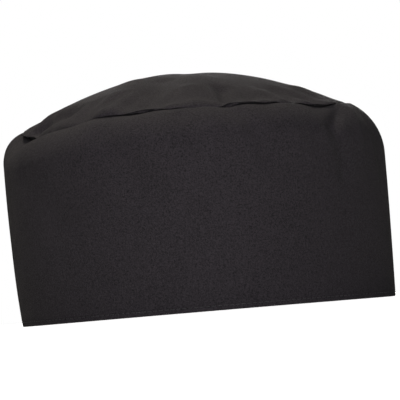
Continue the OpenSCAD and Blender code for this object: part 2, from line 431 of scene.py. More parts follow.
def ply(name, outer, inner, u, v, material, body=None, keep=None, wrap=False):
    """A closed ply of cloth between two grids of points (columns by rows).
    u holds one weave place per column (one more if it wraps), v one per row or per point."""
    cols, rows = outer.shape[:2]
    cells = cols if wrap else cols - 1
    if keep is None:
        keep = np.ones((cells, rows - 1), bool)
    v = np.broadcast_to(v, (cols, rows))
    j, k = np.nonzero(keep)
    column = j[:, None] + [0, 1, 1, 0]
    row = k[:, None] + [0, 0, 1, 1]
    front = column % cols * rows + row
    place = np.stack([u[column], v[column % cols, row]], -1)
    far = cols * rows
    faces = [front, front[:, ::-1] + far]
    places = [place, place[:, ::-1]]
    padded = np.zeros((cells + 2, rows + 1), bool)
    padded[1:-1, 1:-1] = keep
    if wrap:
        padded[0], padded[-1] = padded[-2], padded[1]
    missing = (~padded[j + 1, k], ~padded[j + 2, k + 1], ~padded[j + 1, k + 2], ~padded[j, k + 1])
    for side, gone in enumerate(missing):
        after_side = (side + 1) % 4
        near, after = front[gone, side], front[gone, after_side]
        faces.append(np.stack([after, near, near + far, after + far], 1))
        first, second = place[gone, side], place[gone, after_side]
        places.append(np.stack([second, first, first + CUT_EDGE, second + CUT_EDGE], 1))
    faces, uv = np.concatenate(faces), np.concatenate(places)
    points = np.concatenate([outer.reshape(-1, 3), inner.reshape(-1, 3)])
    used, packed = np.unique(faces, return_inverse=True)
    return make_piece(name, points[used], packed.reshape(faces.shape), material, body, uv)


# ---------- columns of the band ----------

def arch_z(x):
    """Height of the plies' edge over the opening."""
    return SPRING_Z + np.sqrt(np.maximum(EDGE_X ** 2 - x ** 2, 0))


def band_columns(count):
    """Azimuths round the band: even, except closer over the opening and at the back seam."""
    edge = math.asin(EDGE_X / BASE_R)
    around = np.linspace(-(PI - edge), PI - edge, count)
    t = np.linspace(-PI / 2, PI / 2, 57)
    fine = [0.25, 0.5, 0.8, 1.2, 1.7, 2.0, 2.3]
    x = np.unique(np.concatenate([EDGE_X * np.sin(t), fine, np.negative(fine)]))
    x = x[np.abs(x) < EDGE_X - 1e-6]
    x = x[np.append(True, np.diff(x) > 0.12)]
    over = PI - np.arcsin(x / BASE_R)
    return np.concatenate([around, over[::-1]])


def open_back(a, path):
    """The rows' t for each column, lifted over the arch, and which cells there are."""
    level = 55
    t = np.broadcast_to(path[:, 0], (len(a), len(path)))
    x = BASE_R * np.sin(turn(a, PI))
    inside = np.abs(turn(a, PI)) < math.asin(EDGE_X / BASE_R) + 1e-6
    rows = path[:, 0] >= SPRING_Z - 1e-6
    lift = (arch_z(x) - SPRING_Z)[:, None] * (1 - (t - SPRING_Z) / (level - SPRING_Z))
    lift = np.where((t < level) & rows & inside[:, None], np.maximum(lift, 0), 0)
    cell_inside = inside & np.roll(inside, -1)
    return t + lift, ~(cell_inside[:, None] & ~rows[:-1])


def band_ply(name, a, t, keep, path, thickness, material):
    """One ply of the band, swept round the hat along a path in (t, depth)."""
    near, far = offset_path(path, thickness / 2)
    outer = band_point(a[:, None], t + (near - path)[:, 0], near[:, 1])
    inner = band_point(a[:, None], t + (far - path)[:, 0], far[:, 1])
    u = np.append(a, a[0] + 2 * PI) * BASE_R
    return ply(name, outer, inner, u, path_length(path), material, "hat", keep, wrap=True)


# ---------- materials ----------

class Tree:
    """Short calls for the nodes of a material or a world."""

    def __init__(self, owner):
        owner.use_nodes = True
        self.owner = owner
        self.nodes, self.links = owner.node_tree.nodes, owner.node_tree.links

    def feed(self, socket, value):
        if isinstance(value, bpy.types.NodeSocket):
            self.links.new(value, socket)
        else:
            socket.default_value = value

    def fill(self, node, **inputs):
        """Feed a node's inputs by their names, with _ for each space."""
        for name, value in inputs.items():
            self.feed(node.inputs[name.replace("_", " ")], value)
        return node.outputs

    def new(self, kind, **settings):
        node = self.nodes.new("ShaderNode" + kind)
        for name, value in settings.items():
            setattr(node, name, value)
        return node

    def math(self, operation, *values):
        node = self.new("Math", operation=operation)
        for socket, value in zip(node.inputs, values):
            self.feed(socket, value)
        return node.outputs[0]

    def total(self, *terms):
        """The sum of each value times its weight."""
        result = None
        for value, weight in terms:
            term = self.math("MULTIPLY", value, weight)
            result = term if result is None else self.math("ADD", result, term)
        return result

    def thread_round(self, count):
        """How high a thread stands, from its middle out; count grows by 1 with each thread."""
        side = self.math("ABSOLUTE", self.math("SUBTRACT", self.math("FRACT", count), 0.5))
        return self.math("SUBTRACT", 1.0, self.math("MULTIPLY", 2.4, self.math("POWER", side, 1.6)))

    def stored(self, name):
        return self.new("Attribute", attribute_name=name).outputs["Fac"]

    def place(self):
        return self.new("TexCoord").outputs["Object"]

    def stretched(self, vector, scale):
        return self.fill(self.new("Mapping"), Vector=vector, Scale=scale)[0]

    def noise(self, vector, scale, detail=2.0, rough=0.5):
        node = self.new("TexNoise")
        return self.fill(node, Vector=vector, Scale=scale, Detail=detail, Roughness=rough)["Fac"]

    def spread(self, value, *limits):
        """Map a value from low..high to new_low..new_high."""
        node = self.new("MapRange")
        for socket, number in zip(node.inputs, (value, *limits)):
            self.feed(socket, number)
        return node.outputs[0]

    def coat(self, shade, dark, light, height, relief_mm, rough, sheen, specular):
        """The cloth's colour from dark to light by its shade, its relief and its roughness."""
        mix = self.new("Mix", data_type="RGBA")
        colour = self.fill(mix, Factor=shade, A=(*dark, 1), B=(*light, 1))["Result"]
        normal = self.fill(self.new("Bump"), Height=height, Strength=1.0, Distance=relief_mm * MM)[0]
        self.fill(self.nodes["Principled BSDF"], Base_Color=colour, Normal=normal, Roughness=rough,
                  Specular_IOR_Level=specular, Sheen_Weight=sheen, Sheen_Roughness=0.5)
        return self.owner


def woven(name, dark, light, pitch, cycle, over, rough=(0.80, 0.95), relief_mm=0.10,
          herringbone=0.0, wear=1.3):
    """Threads of one pitch (mm) crossing each other; a thread goes over `over` of every
    `cycle` threads, one further along on each row, so 2 of 3 is a twill and 1 of 2 plain."""
    tree = Tree(bpy.data.materials.new(name))
    uv = tree.new("UVMap", uv_map="weave").outputs[0]
    u, v, _ = tree.fill(tree.new("SeparateXYZ"), Vector=uv)
    wander = tree.noise(uv, 0.09, 2)
    u2 = tree.math("ADD", u, tree.spread(wander, 0.3, 0.7, -0.5 * pitch, 0.5 * pitch))
    v2 = tree.math("ADD", v, tree.spread(wander, 0.3, 0.7, 0.4 * pitch, -0.4 * pitch))
    if herringbone:
        u2 = tree.math("PINGPONG", u2, herringbone)
    col = tree.math("DIVIDE", u2, pitch)
    row = tree.math("DIVIDE", v2, pitch)
    number = tree.math("ADD", tree.math("FLOOR", col), tree.math("FLOOR", row))
    turn_in = tree.math("FRACT", tree.math("DIVIDE", number, float(cycle)))
    on_top = tree.math("LESS_THAN", turn_in, (over - 0.5) / cycle)
    warp = tree.math("MULTIPLY", on_top, tree.thread_round(col))
    weft = tree.math("MULTIPLY", tree.math("SUBTRACT", 1.0, on_top),
                     tree.math("MULTIPLY", 0.72, tree.thread_round(row)))
    threads = tree.math("ADD", warp, weft)
    streak_u = tree.noise(tree.stretched(uv, (0.08, 2.4, 1)), 1.0, 3, 0.6)
    streak_v = tree.noise(tree.stretched(uv, (2.4, 0.08, 1)), 1.0, 3, 0.6)
    streaks = tree.math("ADD", streak_u, streak_v)
    fuzz = tree.noise(tree.place(), 2600, 2, 0.6)
    grain = tree.noise(tree.place(), 1500, 2, 0.7)
    cloud = tree.noise(tree.place(), 34, 3, 0.55)
    shade = tree.total((threads, 0.42), (streaks, 0.35), (fuzz, 0.30), (grain, 2.6), (cloud, 0.30))
    shade = tree.spread(shade, 1.55, 2.75, 0.0, 1.0)
    rubbed = tree.math("MULTIPLY", tree.stored("wear"), tree.math("MULTIPLY", cloud, wear))
    # The stored seam weight (the third term) is painted shade: it darkens the crown's underside in the
    # seam, standing in for the shadow under its overhang.
    shade = tree.total((shade, 1.0), (rubbed, 1.0), (tree.stored("painted_seam_shade"), -0.8))
    height = tree.total((threads, 1.0), (fuzz, 0.5), (streaks, 0.35), (grain, 1.6))
    rough = tree.spread(threads, 0, 1, rough[1], rough[0])
    return tree.coat(shade, dark, light, height, relief_mm, rough, 0.02, 0.2)


def grained(name, dark, light, scale, relief_mm, rough=(0.7, 0.9), sheen=0.0, specular=0.3):
    """Fibres with no weave: threads, nylon and non-woven cloth."""
    tree = Tree(bpy.data.materials.new(name))
    place = tree.place()
    fine = tree.noise(place, scale, 3, 0.6)
    cloud = tree.noise(place, scale * 0.06, 2)
    shade = tree.spread(tree.math("ADD", fine, cloud), 0.7, 1.3, 0.0, 1.0)
    shade = tree.total((shade, 1.0), (tree.stored("wear"), 0.4))
    rough = tree.spread(fine, 0.3, 0.7, rough[1], rough[0])
    return tree.coat(shade, dark, light, fine, relief_mm, rough, sheen, specular)


TWILL = woven("black_twill", (0.0070, 0.0060, 0.0074), (0.047, 0.040, 0.0475), 0.36, 3, 2)
LINING = woven("black_lining", (0.010, 0.0095, 0.011), (0.026, 0.024, 0.027), 0.30, 2, 1,
               rough=(0.6, 0.8))
BINDING = woven("black_bias_tape", (0.009, 0.0085, 0.010), (0.024, 0.022, 0.025), 0.32, 2, 1)
SWEAT = woven("black_herringbone", (0.014, 0.013, 0.015), (0.040, 0.037, 0.040), 0.42, 4, 2,
              herringbone=4.2, relief_mm=0.14)
INTERLINING = grained("stiff_interlining", (0.26, 0.25, 0.235), (0.42, 0.41, 0.385), 900, 0.15,
                      rough=(0.9, 0.98))
THREAD = grained("black_thread", (0.016, 0.015, 0.017), (0.055, 0.051, 0.056), 2200, 0.05,
                 rough=(0.45, 0.65), specular=0.5)
NYLON = grained("black_nylon", (0.008, 0.008, 0.009), (0.022, 0.022, 0.024), 1500, 0.03,
                rough=(0.3, 0.45), specular=0.5)
LOOPS = grained("black_brushed_loops", (0.010, 0.0095, 0.011), (0.034, 0.032, 0.035), 1800, 0.05,
                rough=(0.75, 0.92), sheen=0.1)
LABEL = woven("blank_satin_label", (0.52, 0.51, 0.47), (0.76, 0.75, 0.71), 0.22, 5, 4,
              rough=(0.38, 0.6), relief_mm=0.04, wear=-0.9)


# ---------- band ----------


WALL_ROWS = [0.7, 1.0, 1.35, 1.7, 1.95, 2.25, 2.55, 2.8, 3.2, 3.8, 4.6, 5.6, 6.8, 8.2, 9.8, 11.4,
             SPRING_Z, *np.arange(SPRING_Z + 1.8, 118, 1.6)]


def build_shell():
    """The outer ply: turned in at the hem, over the shoulder, and down into the crown seam."""
    middle = SHELL_T / 2
    fold = np.linspace(0, PI, 7)[1:-1]
    turned = [(t, 0.9) for t in (HEM_TURN, 6.5, 5.0, 3.6, 2.4, 1.4, 0.75)]
    bottom = [(0.62 - 0.31 * math.sin(f), 0.6 + 0.3 * math.cos(f)) for f in fold]
    wall = [(t, middle) for t in WALL_ROWS if t < 70]
    last = wall[-1][0]
    a = band_columns(400)
    reach = seam_length(a) + FLANGE
    share = np.linspace(0, 1, 42)[1:]
    path = np.array(turned + bottom + wall)
    t, keep = open_back(a, path)
    t = np.concatenate([t, last + share * (reach - last)[:, None]], 1)
    keep = np.concatenate([keep, np.ones((len(a), len(share)), bool)], 1)
    path = np.concatenate([path, np.stack([last + share * 45, 0 * share + middle], 1)])
    piece = band_ply("band_shell_cloth", a, t, keep, path, SHELL_T, TWILL)
    dress(piece, "twill", "band_shell")


def build_inner_ply(slot, node, low, high, depth, thickness, material, columns):
    """A flat-edged ply inside the shell, from low to high, with its middle at depth."""
    path = np.array([(t, depth) for t in [low] + [x for x in WALL_ROWS if low + 0.4 < x < high]])
    a = band_columns(columns)
    piece = band_ply(node + "_cloth", a, *open_back(a, path), path, thickness, material)
    dress(piece, slot, node)


# ---------- crown ----------

def crown_net(spacing, count):
    """Even points over the flat crown with rings of count points at its rim, and their triangles."""
    angles = np.arange(count) * 2 * PI / count
    rings = [at(angles, share, 0.0)[:, :2] * CROWN_FLAT
             for share in (0.9999, 0.975, 0.95, 0.937, 0.925, 0.912, 0.90)]
    size = int(CROWN_FLAT / spacing) + 2
    span = range(-size, size + 1)
    cells = np.array([(col * spacing + 0.5 * spacing * (row % 2), row * spacing * 0.866)
                      for row in span for col in span])
    limit = RIM_SHARE * CROWN_FLAT - 0.75 * spacing
    flat = np.concatenate(rings + [cells[np.hypot(cells[:, 0], cells[:, 1]) < limit]])
    border = [(i, (i + 1) % count) for i in range(count)]
    points, _, faces, *_ = delaunay_2d_cdt([Vector(p) for p in flat], border, [], 1, 1e-5)
    return np.array([tuple(p) for p in points]), np.array(faces)


def build_crown():
    flat, faces = crown_net(2.2, 360)
    a = np.arctan2(flat[:, 0], -flat[:, 1])
    share = np.minimum(np.hypot(flat[:, 0], flat[:, 1]) / CROWN_FLAT, 1.0)
    target = crown_point(a, share)
    first = target[faces[:, 0]]
    normal = np.cross(target[faces[:, 1]] - first, target[faces[:, 2]] - first)
    if normal[:, 2].sum() < 0:
        faces = faces[:, ::-1]
    uv = flat[faces].reshape(-1, 2)
    piece = make_piece("crown_panel_cloth", target, faces, TWILL, None, uv, 180)
    # Painted shade: the crown's cloth from its rim into the seam gets a weight that darkens the twill,
    # standing in for the shadow in the slot under the crown's overhang.
    seam_shade_weight = smooth((share - RIM_SHARE) / 0.012).astype(np.float32)
    piece.data.attributes.new("painted_seam_shade", "FLOAT", "POINT").data.foreach_set("value", seam_shade_weight)
    settle(piece, smooth((share - DOME_SHARE) / 0.08), target)
    thick = piece.modifiers.new("thickness", "SOLIDIFY")
    thick.thickness = CROWN_T * MM
    thick.offset = -1
    finer = piece.modifiers.new("finer", "SUBSURF")
    finer.levels = finer.render_levels = 1
    finer.boundary_smooth = "PRESERVE_CORNERS"
    apply_modifiers(piece)
    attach(piece, "hat")
    dress(piece, "twill", "crown_panel")


def soften(mesh, values, times):
    """Average a value per point with its neighbours', a few times over."""
    ends = edge_ends(mesh)
    count = len(mesh.vertices)
    near = np.maximum(np.bincount(ends.ravel(), minlength=count), 1)
    for _ in range(times):
        total = [gather(ends, column[ends[1]], column[ends[0]], count) for column in values.T]
        values = 0.5 * values + 0.5 * (np.array(total) / near).T
    return values


SIM_FRAMES = 20
SIM_LIMIT = 1.7
CLOTH = dict(quality=6, mass=0.25, tension_stiffness=12, compression_stiffness=12,
             shear_stiffness=4, bending_stiffness=1.5, vertex_group_mass="pinned",
             shrink_min=-0.022, shrink_max=-0.022, use_pressure=True, uniform_pressure_force=4.0)


def settle(piece, pinned, start):
    """Let the crown's slightly too large cloth settle under a little air pressure."""
    pins = piece.vertex_groups.new(name="pinned")
    for index, weight in enumerate(pinned):
        pins.add([index], float(weight), "REPLACE")
    settings = piece.modifiers.new("cloth", "CLOTH").settings
    for name, value in CLOTH.items():
        setattr(settings, name, value)
    settings.effector_weights.gravity = 0.0
    scene = bpy.context.scene
    for frame_number in range(1, SIM_FRAMES + 1):
        scene.frame_set(frame_number)
    moved = piece.evaluated_get(bpy.context.evaluated_depsgraph_get()).data
    shift = read_vectors(moved.vertices, "co") / MM - start
    size = np.linalg.norm(shift, axis=1, keepdims=True)
    shift *= SIM_LIMIT * np.tanh(size / SIM_LIMIT) / np.maximum(size, 1e-9)
    shift = soften(piece.data, shift, 8)
    piece.modifiers.clear()
    scene.frame_set(1)
    piece.data.vertices.foreach_set("co", ((start + shift * (1 - pinned)[:, None]) * MM).ravel())
    piece.data.update()


def apply_modifiers(piece):
    bpy.context.view_layer.update()
    graph = bpy.context.evaluated_depsgraph_get()
    mesh = bpy.data.meshes.new_from_object(piece.evaluated_get(graph))
    old = piece.data
    piece.modifiers.clear()
    piece.data = mesh
    mesh.name = old.name
    bpy.data.meshes.remove(old)
    mark_wear(mesh)


# ---------- threads ----------

def tube_faces(count, length, sides):
    """The quads and the end caps of tubes whose points come tube by tube, ring by ring."""
    tube, row, spoke = np.indices((count, length - 1, sides))
    start = (tube * length + row) * sides
    after = (spoke + 1) % sides
    corners = np.stack([spoke, after, sides + after, sides + spoke], -1)
    quads = (start[..., None] + corners).reshape(-1, 4)
    first = np.arange(count)[:, None] * length * sides
    spokes = np.arange(sides)
    return quads, [*(first + spokes[::-1]), *(first + (length - 1) * sides + spokes)]


def tubes(name, lines, reference, radius, sides, material, body):
    """Round tubes with closed ends along lines (tubes, points, 3); radius is one number, or
    one for each point along a line."""
    lines = np.asarray(lines, float)
    count, length = lines.shape[:2]
    along = unit(np.gradient(lines, axis=1))
    side = unit(np.cross(along, np.broadcast_to(reference, lines.shape)))
    up = np.cross(side, along)
    turns = np.arange(sides)[:, None] * 2 * PI / sides
    radius = np.broadcast_to(radius, (length,))[None, :, None, None]
    ring = side[:, :, None] * np.cos(turns) + up[:, :, None] * np.sin(turns)
    points = (lines[:, :, None] + radius * ring).reshape(-1, 3)
    quads, ends = tube_faces(count, length, sides)
    return make_piece(name, points, [*quads, *ends], material, body, None, 80)


STITCH_GAP = 0.42
THREAD_R = 0.2


def stitches(name, node, rows, body, length=2.3):
    """Separate stitches along rows; a row is points on the cloth and its outward normals."""
    shape = np.linspace(-1, 1, 7)
    heights = THREAD_R * (1.05 - 1.75 * shape ** 4)
    lines, normals = [], []
    for points, normal in rows:
        way = path_length(points)
        number = max(1, int(way[-1] / (length + STITCH_GAP)))
        pitch = way[-1] / number
        middle = (np.arange(number) + 0.5) * pitch
        places = middle[:, None] + shape * (pitch - STITCH_GAP) / 2
        point, out = [np.stack([np.interp(places, way, values[:, i]) for i in range(3)], -1)
                      for values in (points, normal)]
        out = unit(out)
        lines.append(point + out * heights[None, :, None])
        normals.append(out)
    size = THREAD_R * np.array([0.55, 0.95, 1.0, 0.96, 1.0, 0.95, 0.55])
    piece = tubes(name, np.concatenate(lines), np.concatenate(normals), size, 7, THREAD, body)
    dress(piece, "thread", node)


def band_row(a, t, depth, inside=False):
    """A stitch row on the band: points, and normals out of the face it is seen on."""
    points = band_point(a, t, depth)
    normal = unit(points - band_point(a, t, depth + 0.5))
    return points, -normal if inside else normal


def build_hem_stitches():
    start = 26.9 * DEG
    end = math.asin((OPENING_X + BINDING_W + 0.3) / BASE_R)
    a = np.linspace(-(PI - start), PI - end, 1500)
    outside = band_row(a, HEM_ROW + 0 * a, 0.1)
    a = np.linspace(-(PI - 0.42), PI - 0.42, 1500)
    inside = band_row(a, 2.6 + 0 * a, SWEATBAND_D + SWEATBAND_T - 0.05, True)
    stitches("hem_threads", "hem_stitching", [outside, inside], "hat")


def build_back_seam_stitches():
    t = np.linspace(OPENING_Z + BINDING_W + 0.6, float(seam_length(np.array(PI))) - 3, 260)
    rows = [band_row(PI - side * 2.0 / BASE_R + 0 * t, t, 0.08 + 0 * t) for side in (-1, 1)]
    stitches("back_seam_threads", "back_seam_stitching", rows, "hat")


# ---------- sweatband ----------

def build_sweatband():
    end = math.asin((OPENING_X + BINDING_W + 1) / HEAD_R)
    a = np.linspace(-(PI - end), PI - end, 420)
    low, high = SWEATBAND_LOW, SWEATBAND_HIGH
    t = np.array([low, low + 0.25, low + 0.7, low + 1.4, low + 2.2, *np.arange(4, high - 1, 1.2),
                  high - 0.8, high - 0.3, high])
    depth = SWEATBAND_D + SWEATBAND_T / 2
    pinch = 0.5 - 0.22 * bump(t - 2.6, 0.8) - 0.25 * bump(t - low, 0.35) - 0.15 * bump(t - high, 0.5)
    soft = 0.10 * waves(a[:, None], t / 9, 31, 8, 20, 70)
    outer = band_point(a[:, None], t, depth - pinch * 1.02)
    inner = band_point(a[:, None], t, depth + pinch * 1.02 + soft)
    piece = ply("sweatband_cloth", outer, inner, a * BASE_R, t, SWEAT, "hat")
    dress(piece, "sweatband", "sweatband")
    build_overlock(a[0] + 0.004, a[-1] - 0.004, (a[-1] - a[0]) * HEAD_R, high, depth)


def build_overlock(start, end, length, high, depth):
    """Loops of thread over the sweatband's upper edge, and the thread that locks them."""
    turns = int(length / 2.1)
    steps = 12
    angle = np.linspace(0, turns * 2 * PI, turns * steps)
    a = np.linspace(start, end, turns * steps)
    line = band_point(a, high - 0.75 + 1.0 * np.sin(angle), depth + 0.05 + 0.74 * np.cos(angle))
    lock = band_point(a, high + 0.12 + 0.12 * np.sin(angle + 1), depth + 0.1 * np.cos(angle))
    inwards = np.stack([np.cos(a), np.sin(a), 0 * a], -1)
    upright = np.broadcast_to([0, 0, 1.0], lock.shape)
    piece = tubes("sweatband_overlock", np.stack([line, lock]), np.stack([inwards, upright]),
                  THREAD_R, 6, THREAD, "hat")
    dress(piece, "thread", "sweatband_edging")


# ---------- opening binding ----------

def arch_path(g, legs=10, bow=64):
    """Places (x, z) along the arch at distance g from its edge, from the -X hem to the +X hem."""
    turns = np.linspace(PI, 0, bow)
    g = np.atleast_1d(g)[:, None]
    r = OPENING_X + g
    rise = np.linspace(0, 1, legs, endpoint=False)
    left = np.stack([-r + 0 * rise, SPRING_Z * rise + 0 * g], -1)
    arc = np.stack([r * np.cos(turns), SPRING_Z + r * np.sin(turns)], -1)
    right = np.stack([r + 0 * rise, SPRING_Z * (1 - rise) - SPRING_Z / legs + 0 * g], -1)
    return np.concatenate([left, arc, right], 1)


def arch_point(g, depth):
    """Points of the band along the arch, for each pair of g and depth: columns by rows."""
    place = arch_path(g)
    a = PI - np.arcsin(np.clip(place[..., 0] / BASE_R, -1, 1))
    return band_point(a, place[..., 1], np.asarray(depth)[:, None]).transpose(1, 0, 2)


def build_opening_binding():
    middle = (SWEATBAND_D - TAPE_T) / 2
    half = middle + TAPE_T / 2
    wrap = np.linspace(0, PI, 9)[1:-1]
    turn_over = [(0.25 + 0.55 * (1 - math.sin(w)), middle - half * math.cos(w)) for w in wrap]
    places = (BINDING_W, 5.7, 5.2, 4.9, 4.6, 4.2, 3.4, 2.6, 1.8, 1.2)
    outside = [(g, -TAPE_T / 2) for g in places]
    inside = [(g, 2 * middle + TAPE_T / 2) for g in places[::-1]]
    path = np.array(outside + turn_over + inside)
    near, far = offset_path(path, TAPE_T / 2)
    outer = arch_point(far[:, 0], far[:, 1])
    inner = arch_point(near[:, 0], near[:, 1])
    for face in (outer, inner):
        face[..., 2] = np.maximum(face[..., 2], 0.02)
    u = path_length(arch_point(np.array([BINDING_W / 2]), np.array([0.0]))[:, 0])
    piece = ply("opening_binding_tape", outer, inner, u * BIAS_ALONG,
                path_length(path) + u[:, None] * BIAS_ACROSS, BINDING, "hat")
    dress(piece, "binding", "opening_binding")

    row = np.array([4.75])
    over = arch_point(row, np.array([-TAPE_T]))[1:-1, 0]
    under = arch_point(row, np.array([2 * middle + TAPE_T]))[1:-1, 0]
    out = unit(over - under)
    stitches("opening_threads", "opening_stitching", [(over, out), (under, -out)], "hat", 2.1)


# ---------- crown seam, inside ----------

def build_seam_binding():
    a = np.linspace(-PI, PI, 361)[:-1]
    mid = SEAM_R - 0.05
    half = 1.03
    leg = (-2.6, -3.2, -4.0, -4.8, -5.6, -6.3)
    bottom = [(mid + half * math.cos(t), -6.7 - 0.5 * math.sin(t)) for t in np.linspace(0, PI, 9)]
    path = np.array([(mid + half, z) for z in leg] + bottom + [(mid - half, z) for z in leg[::-1]])
    sway = 0.12 * waves(a, 0 * a, 41, 9, 25, 80)[:, None]
    lean = smooth((-path[:, 1] - 3) / 3)
    near, far = [at(a[:, None], section[:, 0] + sway * lean + hills(a, SEAM_INSET)[:, None],
                    section[:, 1] + seam_top(a)[:, None] + 0.6 * sway)
                 for section in offset_path(path, TAPE_T / 2)]
    u = np.append(a, PI) * SEAM_R
    piece = ply("seam_binding_tape", near, far, u * BIAS_ALONG, path_length(path), BINDING, "hat",
                wrap=True)
    dress(piece, "binding", "crown_seam_binding")

    a = np.linspace(-PI, PI, 2000)
    over_label = 0.36 * smooth((LABEL_X + 0.8 - np.abs(turn(a, PI)) * SEAM_R) / 0.8)
    r = mid - half - TAPE_T / 2 - over_label + 0.05 + hills(a, SEAM_INSET)
    row = (at(a, r, seam_top(a) - 5.1), at(a, -1.0, 0.0))
    stitches("crown_seam_threads", "crown_seam_stitching", [row], "hat")


def build_label():
    """A blank woven label, sewn over the seam binding and hanging free below it."""
    hinge = joint_point("label_flip")
    x = np.linspace(-LABEL_X, LABEL_X, 25)
    z = np.concatenate([np.linspace(SEAM_Z - 3.2, hinge[2] - 1, 12),
                        np.linspace(hinge[2] - 2, LABEL_LOW, 30)])
    sewn = smooth((z - (hinge[2] - 0.6)) / 2.2)
    sewn_r = 79.62
    tight = np.sqrt(sewn_r ** 2 - x ** 2)[:, None]
    low = (z - LABEL_LOW) / (hinge[2] - LABEL_LOW)
    bow = (x / LABEL_X) ** 2
    curl = 0.78 * smooth(1 - 1.6 * low) ** 2 * (0.5 + 0.5 * bow)[:, None]
    free = hinge[1] + 0.22 - (0.55 * bow)[:, None] - curl
    y = tight * sewn + free * (1 - sewn)
    face = np.stack(np.broadcast_arrays(x[:, None], y, z), -1)
    thick = np.array([0, 0.16, 0])
    piece = ply("blank_label", face + thick, face - thick, x, z, LABEL)
    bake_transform(piece)
    dress(piece, "label", "care_label")


# ---------- closure ----------

def back_point(g, r, z):
    """A point beside the opening: g is the angle from the centre of the back towards +X."""
    return at(PI - g, r, z)


STRAP_MIDDLE = (STRAP_LOW + STRAP_HIGH) / 2
STRAP_HALF = (STRAP_HIGH - STRAP_LOW) / 2
STRAP_T = 1.0
HOOK_R = BASE_R + 0.95
LOOP_R = HEAD_R + 0.55
EDGE_G = math.asin(OPENING_X / BASE_R)
HOOK_END_G = EDGE_G - 2.5 * DEG
LOOP_END_G = -EDGE_G + 6 * DEG
ROOT_END_G = -EDGE_G - 14 / HOOK_R
TAPE_HALF = 10.0
HOOK_TAPE_G = (HOOK_END_G - 17.5 * DEG, HOOK_END_G - 1.5 * DEG)
LOOP_TAPE_G = (LOOP_END_G + 1.5 * DEG, EDGE_G - 3.0 * DEG)
# Distances from a strap's free end at which its round corners have points
CORNER_STEPS = (0.0, 0.08, 0.2, 0.4, 0.7, 1.0, 1.4, 1.8, 2.2, 2.6)
CORNER_R = 3.0


def strap_cloth(name, path, round_start, round_end, seed):
    """A doubled strap swept along a path of (g, r): round long edges and round corners."""
    spots = back_point(*np.array(path, float).T, 0)
    way = path_length(spots)
    out = np.cross(unit(np.gradient(spots, axis=0)), [0, 0, 1.0])
    half = STRAP_T / 2
    rounding = 0.42 * half
    flat = np.linspace(-1, 1, 24)[1:-1]
    turns = np.linspace(0, PI, 7)
    section = [(s, 1, 0) for s in flat] + [(1, math.cos(t), math.sin(t)) for t in turns]
    section += [(s, -1, 0) for s in flat[::-1]] + [(-1, -math.cos(t), math.sin(t)) for t in turns]
    side, face, swell = np.array(section, float).T
    near = np.minimum(way, way[-1] - way)[:, None]
    corner = np.where(way < way[-1] / 2, round_start, round_end)[:, None]
    cut = corner - np.sqrt(corner ** 2 - np.maximum(corner - near, 0) ** 2)
    width = STRAP_HALF - rounding - cut
    dz = side * (width + swell * rounding)
    sink = 1 - 0.20 * bump(width - np.abs(dz) - 1.6, 0.5)
    ripple = 0.05 * np.sin(way[:, None] * 1.7 + dz * 0.8 + seed) * near / (near + 4)
    stand = face * half * sink * np.minimum(1, 0.35 + near / 0.8) + ripple
    points = spots[:, None] + out[:, None] * stand[..., None]
    points[..., 2] += STRAP_MIDDLE + dz
    around = path_length(np.concatenate([points[0], points[0, :1]]))

    ring = len(section)
    quads, ends = tube_faces(1, len(way), ring)
    row, k = np.divmod(quads[:, :1], ring)
    uv = np.stack([way[row + [0, 1, 1, 0]], around[k + [0, 0, 1, 1]]], -1).reshape(-1, 2)
    row, k = np.divmod(np.array([end[::-1] for end in ends]).ravel(), ring)
    uv = np.concatenate([uv, np.stack([way[row], around[k]], 1)])
    faces = [*quads[:, [0, 3, 2, 1]], *(end[::-1] for end in ends)]
    return make_piece(name, points.reshape(-1, 3), faces, TWILL, None, uv, 60), way[-1]


def hang_strap(piece, length, body, joint, side, before, after, *nodes):
    """Bake a strap's place into its mesh and hide its CAD nodes; before and after (mm along the strap)
    are not used.
    """
    way = unit(back_point(side * (EDGE_G - 0.02), 1, 0) - back_point(side * (EDGE_G + 0.02), 1, 0))
    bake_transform(piece)
    dress(piece, "twill", *nodes)


def patch_rows(r, sign, g0, g1, low, high):
    """Four stitch rows along the border of a patch, seen from outside or, with sign -1, inside."""
    across = np.linspace(g0, g1, 60)
    upright = np.linspace(low, high, 50)
    borders = ((across, low + 0 * across), (across, high + 0 * across),
               (g0 + 0 * upright, upright), (g1 + 0 * upright, upright))
    return [(back_point(g, r, z), sign * back_point(g, 1.0, 0 * z)) for g, z in borders]


def build_tape(name, r, out, span, material, body, node):
    """The woven ground of a hook or loop tape on a strap's face, 0.35 mm thick."""
    g = np.linspace(span[0], span[1], 60)
    s = np.linspace(-1, 1, 30)
    z = STRAP_MIDDLE + s * TAPE_HALF
    thin = 0.35 * out * (1 - 0.45 * smooth((np.abs(s) - 0.93) / 0.07))
    face = back_point(g[:, None], r + thin + out * 0.03 * np.sin(z * 7), z)
    back = back_point(g[:, None], r - 0.02 * out, z)
    outer, inner = (face, back) if out > 0 else (back, face)
    piece = ply(name, outer[::-1], inner[::-1], g * r, z, material, body)
    dress(piece, node, node)


def stitch_tape(name, node, body, span, strap_r, outer_r, inner_r):
    """The rows round a tape, on both faces of its strap."""
    margin = 1 / strap_r
    low, high = STRAP_MIDDLE - TAPE_HALF + 1, STRAP_MIDDLE + TAPE_HALF - 1
    border = (span[0] + margin, span[1] - margin, low, high)
    rows = patch_rows(outer_r, 1.0, *border) + patch_rows(inner_r, -1.0, *border)
    stitches(name, node, rows, body, 2.1)


def pile_grid(span, r, columns, rows):
    """The places of hooks or loops on a tape, clear of its stitches."""
    margin = 2.1 / r
    z = np.linspace(STRAP_MIDDLE - 7.8, STRAP_MIDDLE + 7.8, rows)
    return [(gi, zk) for gi in np.linspace(span[0] + margin, span[1] - margin, columns) for zk in z]


